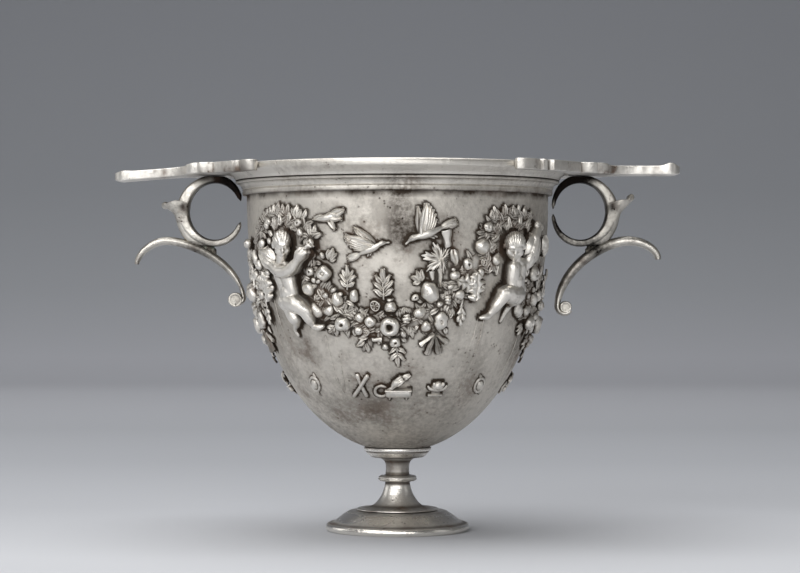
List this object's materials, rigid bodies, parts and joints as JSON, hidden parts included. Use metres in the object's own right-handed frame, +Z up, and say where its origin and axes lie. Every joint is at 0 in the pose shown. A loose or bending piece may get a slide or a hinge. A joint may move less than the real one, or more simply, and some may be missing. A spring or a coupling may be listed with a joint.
{
  "type": "skyphos",
  "caption": "Two-handled silver drinking cup: ovoid bowl chased with garlands, cupids and birds, smooth liner and lip, ring handles with thumb plates, knopped stem and turned foot.",
  "frame": {"origin": "on the table, under the middle of the foot's resting ring", "axes": "+X along the handles to the right handle as the picture shows it, +Y away from the camera through the back of the bowl, +Z up"},
  "size_m": [0.1878, 0.113, 0.1229],
  "materials": {
    "silver_chased": "aged satin silver, dark in the chasing",
    "silver_turned": "aged satin silver with faint turning lines",
    "silver_cast": "worn cast silver",
    "solder": "dull grey solder with green corrosion"
  },
  "bodies": {
    "root": {"outer_case": "silver_chased", "inner_liner": "silver_turned", "rim_collar": "silver_turned", "bowl_seat": "silver_turned", "stem": "silver_turned", "foot_disc": "silver_turned", "left_thumb_plate": "silver_cast", "left_finger_ring": "silver_cast", "left_lower_scroll": "silver_cast", "left_scroll_solder": "solder", "right_thumb_plate": "silver_cast", "right_finger_ring": "silver_cast", "right_lower_scroll": "silver_cast", "right_scroll_solder": "solder"}
  },
  "joints": []
}
